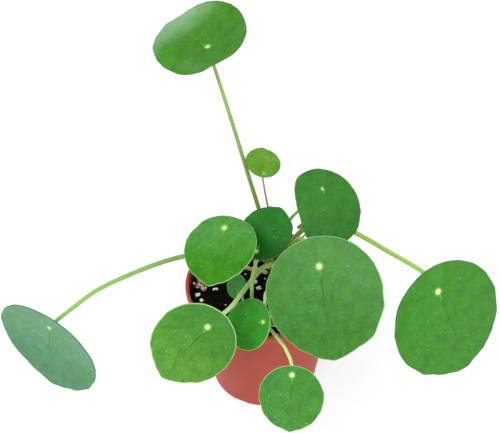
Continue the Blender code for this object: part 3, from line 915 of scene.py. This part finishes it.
def build_mix(settings):
    """A lumpy plug of potting mix that fills the pot."""
    # Along the grid's rows come its top, up to the first share, its wall, up to the second, and its foot.
    top_share, wall_share = 0.7, 0.88
    lump_size, sunk, edge_sunk = 5 * MM, 0.3 * MM, 0.6 * MM
    builder = wrapped_grid(144, 60)
    wall_radius = MIX_HIGH.x
    foot_radius = max(corner.xy.length for corner in MIX_CORNERS if corner.z < MIX_LOW.z + MM)
    for vert in builder.verts:
        turn, share = 2 * math.pi * vert.co.x, vert.co.y
        if share <= top_share:
            radius = wall_radius * share / top_share
            height = mix_height(radius)
            spot = Vector((radius * math.cos(turn), radius * math.sin(turn), 0)) / lump_size
            height += settings.unevenness * noise.fractal(spot, 0.8, 2.0, 5) - sunk
            if radius > 0.94 * wall_radius:
                height -= edge_sunk
        elif share <= wall_share:
            down = (share - top_share) / (wall_share - top_share)
            radius = wall_radius + (foot_radius - wall_radius) * down
            height = MIX_LEVEL + (MIX_LOW.z - MIX_LEVEL) * down
        else:
            radius, height = foot_radius * (1 - share) / (1 - wall_share), MIX_LOW.z
        vert.co = (radius * math.cos(turn), radius * math.sin(turn), height)
    bmesh.ops.remove_doubles(builder, verts=builder.verts, dist=MERGE / 10)
    bmesh.ops.recalc_face_normals(builder, faces=builder.faces)
    finished(
        "mix_plug", builder, [peat_material("peat_damp", "030302", "120C08")], ["potting_mix"]
    )


def scattered(chooser, reach):
    """A random place on the mix within reach of the middle."""
    radius = reach * math.sqrt(chooser.random())
    turn = 2 * math.pi * chooser.random()
    return Vector((radius * math.cos(turn), radius * math.sin(turn), mix_height(radius)))


def random_turn(chooser):
    turns = [Matrix.Rotation(2 * math.pi * chooser.random(), 4, axis) for axis in "ZYX"]
    return turns[0] @ turns[1] @ turns[2]


def add_lump(builder, chooser, place, radii, subdivisions):
    """Adds a lump with these three radii at a place, turned at random."""
    turn = Matrix.Translation(place) @ random_turn(chooser)
    shape = Matrix.Diagonal([*radii, 1])
    bmesh.ops.create_icosphere(builder, subdivisions=subdivisions, radius=1, matrix=turn @ shape)


def build_crumbs(settings):
    """Loose crumbs and fibres of peat, strewn over the mix."""
    chooser = random.Random(7)
    builder = bmesh.new()
    reach = MIX_HIGH.x - 1.2 * MM
    for _ in range(settings.crumbs):
        size = settings.crumb_size * (0.5 + 1.3 * chooser.random() ** 2)
        place = scattered(chooser, reach - size)
        radii = [size * (0.6 + 0.8 * chooser.random()) for _ in range(3)]
        add_lump(builder, chooser, place, radii, 1)
    for _ in range(settings.fibres):
        length = (3 + 6 * chooser.random()) * MM
        place = scattered(chooser, reach - length / 2) + Vector((0, 0, 0.5 * MM))
        lie = Matrix.Rotation(2 * math.pi * chooser.random(), 4, "Z")
        lie @= Matrix.Rotation(math.radians(90 + 16 * (chooser.random() - 0.5)), 4, "Y")
        bmesh.ops.create_cone(
            builder, cap_ends=True, segments=5, radius1=0.16 * MM, radius2=0.08 * MM, depth=length,
            matrix=Matrix.Translation(place) @ lie,
        )
    bmesh.ops.recalc_face_normals(builder, faces=builder.faces)
    finished("mix_crumbs", builder, [peat_material("peat_crumbs", "040303", "1C130C")])


def grain_of(node, seed, cuts, scale, depth):
    """A worn, pitted form of one of the frame's loose grains."""
    builder = cad_copy(node)
    bmesh.ops.subdivide_edges(builder, edges=builder.edges, cuts=cuts, use_grid_fill=True)
    bmesh.ops.smooth_vert(
        builder, verts=builder.verts, factor=0.5, use_axis_x=True, use_axis_y=True, use_axis_z=True
    )
    roughen(builder, builder.verts, scale, depth, seed)
    roughen(builder, builder.verts, scale / 3, depth / 3, seed + 1)
    return builder


def build_toppings(settings):
    """The bark chips and perlite that lie on the mix, and the small bits of both."""
    bark, perlite = bark_material(), perlite_material()
    for i in range(1, GRAINS + 1):
        chip = grain_of(f"bark_chip_{i}", i, 4, 1.3 * MM, 1.1 * MM)
        finished(f"bark_{i}", chip, [bark], [f"bark_chip_{i}"])
        grain = grain_of(f"perlite_{i}", 20 + i, 4, 0.9 * MM, 0.9 * MM)
        finished(f"perlite_grain_{i}", grain, [perlite], [f"perlite_{i}"])
    chooser = random.Random(11)
    builder = bmesh.new()
    for _ in range(settings.specks):
        size = (0.35 + 0.5 * chooser.random() ** 2) * MM
        place = scattered(chooser, MIX_HIGH.x - 2 * MM) + Vector((0, 0, 0.7 * MM))
        radii = [size * (0.7 + 0.6 * chooser.random()) for _ in range(3)]
        add_lump(builder, chooser, place, radii, 2)
    roughen(builder, builder.verts, 0.6 * MM, 0.15 * MM, 3)
    bmesh.ops.recalc_face_normals(builder, faces=builder.faces)
    finished("perlite_specks", builder, [perlite])

    builder = bmesh.new()
    for i in range(settings.splinters):
        low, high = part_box(f"bark_chip_{1 + i % CLUSTERED}")
        spread = Vector((chooser.uniform(-2.6, 2.6), chooser.uniform(-3.2, 3.2), 0)) * MM
        place = (low + high) / 2 + spread
        place.z = mix_height(place.xy.length) + chooser.uniform(0.8, 2.6) * MM
        radii = [chooser.uniform(0.5, 1.2) * MM for _ in range(3)]
        add_lump(builder, chooser, place, radii, 2)
    roughen(builder, builder.verts, 0.7 * MM, 0.3 * MM, 5)
    bmesh.ops.recalc_face_normals(builder, faces=builder.faces)
    finished("bark_splinters", builder, [bark])


def stalks_on(stem):
    """(name, foot) of each stalk that starts at this stem."""
    low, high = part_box(stem)
    axis = (low + high) / 2
    found = []
    for name in BLADE_LOOKS:
        foot = stalk_rings(name)[0][0]
        if (foot.xy - axis.xy).length < 3 * (high.x - low.x):
            found.append((name, foot))
    return found


def stalk_rings(name):
    """The rings of a stalk, from its foot to the blade."""
    return tube_rings(f"stalk_{name}", BLADES[name].navel)[::-1]


def build_stem(name):
    """A half-woody stem with a swollen leaf scar under each stalk, rounded off at its top."""
    low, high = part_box(name)
    rings = tube_rings(name, Vector(((low.x + high.x) / 2, (low.y + high.y) / 2, low.z)))
    rings = [(rings[0][0] - Vector((0, 0, 1.5 * MM)), rings[0][1] * 1.12), *rings]
    route = rounded_end(smooth_route(rings, 0.7 * MM), 1.2 * MM, 4)
    length = high.z - low.z
    feet = [(foot.z - low.z) / length for _, foot in stalks_on(name)]
    scar = 1.3 * MM / length

    def swell(share, turn):
        ridge = sum(math.exp(-(((share - foot) / scar) ** 2)) for foot in feet)
        return 1 + 0.05 * min(ridge, 1.5) + 0.03 * noise.noise(
            Vector((math.cos(turn), math.sin(turn), share * 9))
        )

    builder = grow_tube(route, 32, swell)
    finished(f"{name}_cork", builder, [stem_material()], [name])


def build_stub():
    """The dried stub of an old stalk, shrunk and wrinkled, lying on the mix."""
    low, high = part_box("dried_stub")
    rings = tube_rings("dried_stub", Vector((low.x, high.y, low.z)))
    route = rounded_end(smooth_route(rings, 0.8 * MM), 0.5 * MM, 2)
    route = rounded_end(route[::-1], 0.5 * MM, 2)

    def swell(share, turn):
        spot = Vector((math.cos(turn) * 1.5, math.sin(turn) * 1.5, share * 7))
        return 0.86 + 0.12 * math.cos(5 * turn + 3 * share) + 0.2 * noise.noise(spot)

    finished("dried_stalk", grow_tube(route, 24, swell), [dried_material()], ["dried_stub"])


def build_stalk(name, settings):
    """A juicy stalk, a little thicker where it leaves the stem and where it spreads into the blade."""
    rings = stalk_rings(name)
    blade = BLADES[name]
    foot, radius = rings[0]
    heading = (rings[1][0] - foot).normalized()
    into_stem = foot - heading * 1.5 * radius
    into_blade = blade.navel - blade.normal * (blade.thickness * 0.5 + settings.dimple)
    rings = [(into_stem, radius), *rings, (into_blade, rings[-1][1])]
    route = smooth_route(rings, settings.stalk_step)
    length = sum((b[0] - a[0]).length for a, b in zip(route, route[1:]))

    def swell(share, turn):
        from_foot, from_head = share * length, (1 - share) * length
        flare = 0.28 * math.exp(-((from_foot / (3 * MM)) ** 2))
        flare += 0.3 * math.exp(-((from_head / (1.2 * MM)) ** 2))
        groove = 0.035 * math.cos(turn) + 0.02 * math.cos(3 * turn)
        return 1 + flare + groove + 0.03 * noise.noise(Vector((0, 0, share * length / (9 * MM))))

    builder = grow_tube(route, settings.stalk_sides, swell)
    material = stalk_material(name, *STALK_LOOKS[name])
    finished(f"stalk_{name}_skin", builder, [material], [f"stalk_{name}"])


def build_blade(name, number, settings):
    """A fleshy round blade: the frame's upper face with a dimple, soft quilting and a scalloped edge."""
    blade = BLADES[name]
    small = blade.radius < SMALL_BLADE
    columns = settings.segments // 2 if small else settings.segments
    rows = settings.rows * 2 // 3 if small else settings.rows
    builder = wrapped_grid(columns, rows)
    lie = builder.verts.layers.float_vector.new("lie")
    edge = builder.verts.layers.float.new("edge")
    heights = {}
    for vert in builder.verts:
        turn, step = vert.co.x % 1.0, vert.co.y
        share = step * step * (3 - 2 * step)
        angle = 2 * math.pi * turn
        round_spot = Vector((math.cos(angle), math.sin(angle), number * 5.3))
        scallop = noise.noise(round_spot * 4.2) + 0.6 * noise.noise(round_spot * 9)
        if not small:
            scallop += 0.5 * noise.noise(round_spot * 17)
        off_tip = abs(math.remainder(angle, 2 * math.pi))
        drawn_out = settings.scallop * scallop + settings.tip_point * math.exp(-off_tip / TIP_WIDTH)
        for bearing, half_width, reach in EDGE_LOBES.get(name, []):
            off_lobe = math.degrees(math.remainder(angle - math.radians(bearing), 2 * math.pi))
            drawn_out += reach * MM * math.exp(-((off_lobe / half_width) ** 2))
        vert.co = blade.point(share * (1 + drawn_out / LARGE_BLADE * share**4), turn)
        flat = Vector((share * (blade.offset + math.cos(angle)), share * math.sin(angle), 0))
        vert[lie] = flat * blade.radius / MM
        vert[edge] = (1 - share) * blade.radius / MM * (1 + blade.offset * math.cos(angle))
        away = flat.length * blade.radius
        quilt = math.cos(9 * math.atan2(flat.y, flat.x)) * math.exp(-((share - 0.45) / 0.3) ** 2)
        wave = noise.noise(round_spot * 1.7 + Vector((0, 0, share * 2))) * share
        heights[vert] = (
            -settings.dimple * math.exp(-((away / DIMPLE_WIDTH) ** 2))
            + blade.radius * (0.009 * wave - 0.005 * quilt * share)
        )
    bmesh.ops.recalc_face_normals(builder, faces=builder.faces)
    builder.normal_update()
    if builder.faces[:][0].normal.dot(blade.normal) < 0:
        bmesh.ops.reverse_faces(builder, faces=builder.faces)
    builder.normal_update()
    for vert, height in heights.items():
        vert.co += blade.normal * height
    bmesh.ops.remove_doubles(builder, verts=builder.verts, dist=MERGE / 10)
    look = BLADE_LOOKS[name]
    materials = [
        blade_upper_material(name, look, blade.radius, settings),
        bpy.data.materials.get("leaf_underside") or blade_under_material(),
        blade_rim_material(name, look),
    ]
    piece = finished(f"blade_{name}_leaf", builder, materials, [f"blade_{name}"])
    flesh = piece.modifiers.new("flesh", "SOLIDIFY")
    flesh.thickness = blade.thickness
    flesh.offset = -1
    flesh.use_quality_normals = True
    flesh.material_offset = 1
    flesh.material_offset_rim = 2
    subdivide(piece, 1)


# --- Stage -------------------------------------------------------------------------------------


# Name, place, side, watts and colour: a warm key, a cooler fill and a low light from the back.
LIGHTS = [
    ("key", (-0.55, -0.75, 1.25), 0.8, 9.0, (1.0, 0.99, 0.97)),
    ("fill", (0.95, -0.7, 0.8), 0.9, 5.0, (0.97, 0.99, 1.0)),
    ("back", (-0.9, 0.7, 0.5), 0.8, 4.0, (0.93, 0.97, 1.0)),
]


def add_light(name, place, size, power, colour, target):
    """A square soft light that looks at the target."""
    data = bpy.data.lights.new(name, "AREA")
    data.size = size
    data.energy = power
    data.color = colour
    light = bpy.data.objects.new(name, data)
    light.location = place
    light.rotation_euler = (target - Vector(place)).to_track_quat("-Z", "Y").to_euler()
    bpy.context.scene.collection.objects.link(light)


def add_camera(settings):
    sight = Vector((0, math.cos(settings.elevation), -math.sin(settings.elevation)))
    level = Vector((1, 0, 0))
    right = Matrix.Rotation(settings.roll, 3, -sight) @ level
    up = right.cross(sight)
    data = bpy.data.cameras.new("camera")
    data.lens = settings.lens
    data.sensor_width = 36
    data.clip_start, data.clip_end = 0.01, 20
    camera = bpy.data.objects.new("camera", data)
    place = Vector(settings.target) - sight * settings.distance
    turn = Matrix((right, up, -sight)).transposed().to_4x4()
    camera.matrix_world = Matrix.Translation(place) @ turn
    bpy.context.scene.collection.objects.link(camera)
    bpy.context.scene.camera = camera


def build_stage(settings):
    """White table, soft lights and the camera."""
    builder = bmesh.new()
    bmesh.ops.create_grid(builder, x_segments=1, y_segments=1, size=6)
    bmesh.ops.translate(builder, verts=builder.verts, vec=(0, 0, POT_LOW.z - 0.1 * MM))
    mesh = bpy.data.meshes.new("table")
    builder.to_mesh(mesh)
    builder.free()
    mesh.materials.append(floor_material(settings))
    table = bpy.data.objects.new("table", mesh)
    bpy.context.scene.collection.objects.link(table)

    for light in LIGHTS:
        add_light(*light, Vector(settings.target))
    world = bpy.data.worlds.new("studio")
    bpy.context.scene.world = world
    world.use_nodes = True
    sky = world.node_tree.nodes["Background"]
    sky.inputs["Color"].default_value = (0.96, 0.98, 1.0, 1)
    sky.inputs["Strength"].default_value = settings.sky
    bpy.context.scene.view_settings.view_transform = "Standard"
    add_camera(settings)


# --- Operators, panel and run ------------------------------------------------------------------


class MONEYPLANT_OT_pot(bpy.types.Operator):
    """Build the moulded pot"""

    bl_idname = "money_plant.pot"
    bl_label = "Pot"

    def execute(self, context):
        build_pot(context.scene.money_plant_pot)
        return {"FINISHED"}


class MONEYPLANT_OT_mix(bpy.types.Operator):
    """Build the potting mix and its loose crumbs"""

    bl_idname = "money_plant.mix"
    bl_label = "Potting Mix"

    def execute(self, context):
        build_mix(context.scene.money_plant_mix)
        build_crumbs(context.scene.money_plant_mix)
        return {"FINISHED"}


class MONEYPLANT_OT_toppings(bpy.types.Operator):
    """Build the bark chips and perlite on the mix"""

    bl_idname = "money_plant.toppings"
    bl_label = "Bark and Perlite"

    def execute(self, context):
        build_toppings(context.scene.money_plant_mix)
        return {"FINISHED"}


class MONEYPLANT_OT_stems(bpy.types.Operator):
    """Build the two stems and the dried stub"""

    bl_idname = "money_plant.stems"
    bl_label = "Stems"

    def execute(self, context):
        build_stem("main_stem")
        build_stem("pup_stem")
        build_stub()
        return {"FINISHED"}


class MONEYPLANT_OT_stalks(bpy.types.Operator):
    """Build the leaf stalks"""

    bl_idname = "money_plant.stalks"
    bl_label = "Stalks"

    def execute(self, context):
        for name in STALK_LOOKS:
            build_stalk(name, context.scene.money_plant_leaf)
        return {"FINISHED"}


class MONEYPLANT_OT_blades(bpy.types.Operator):
    """Build the leaf blades"""

    bl_idname = "money_plant.blades"
    bl_label = "Blades"

    def execute(self, context):
        for number, name in enumerate(BLADE_LOOKS):
            build_blade(name, number, context.scene.money_plant_leaf)
        return {"FINISHED"}


class MONEYPLANT_OT_stage(bpy.types.Operator):
    """Build the table, the lights and the camera"""

    bl_idname = "money_plant.stage"
    bl_label = "Stage"

    def execute(self, context):
        build_stage(context.scene.money_plant_stage)
        return {"FINISHED"}


OPERATORS = [
    MONEYPLANT_OT_pot,
    MONEYPLANT_OT_mix,
    MONEYPLANT_OT_toppings,
    MONEYPLANT_OT_stems,
    MONEYPLANT_OT_stalks,
    MONEYPLANT_OT_blades,
    MONEYPLANT_OT_stage,
]


class MONEYPLANT_PT_panel(bpy.types.Panel):
    """The plant's pieces and their settings"""

    bl_idname = "MONEYPLANT_PT_panel"
    bl_label = "Money Plant"
    bl_space_type = "VIEW_3D"
    bl_region_type = "UI"
    bl_category = "Money Plant"

    def draw(self, context):
        for operator in OPERATORS:
            self.layout.operator(operator.bl_idname)
        for name, group in SETTINGS.items():
            box = self.layout.box()
            for prop in group.__annotations__:
                box.prop(getattr(context.scene, name), prop)


def register():
    for cls in [*SETTINGS.values(), *OPERATORS, MONEYPLANT_PT_panel]:
        bpy.utils.register_class(cls)
    for name, group in SETTINGS.items():
        setattr(bpy.types.Scene, name, PointerProperty(type=group))


def unregister():
    for name in SETTINGS:
        delattr(bpy.types.Scene, name)
    for cls in reversed([*SETTINGS.values(), *OPERATORS, MONEYPLANT_PT_panel]):
        bpy.utils.unregister_class(cls)


def main():
    register()
    bpy.ops.money_plant.pot()
    bpy.ops.money_plant.mix()
    bpy.ops.money_plant.toppings()
    bpy.ops.money_plant.stems()
    bpy.ops.money_plant.stalks()
    bpy.ops.money_plant.blades()
    bpy.ops.money_plant.stage()


if __name__ == "__main__":
    main()
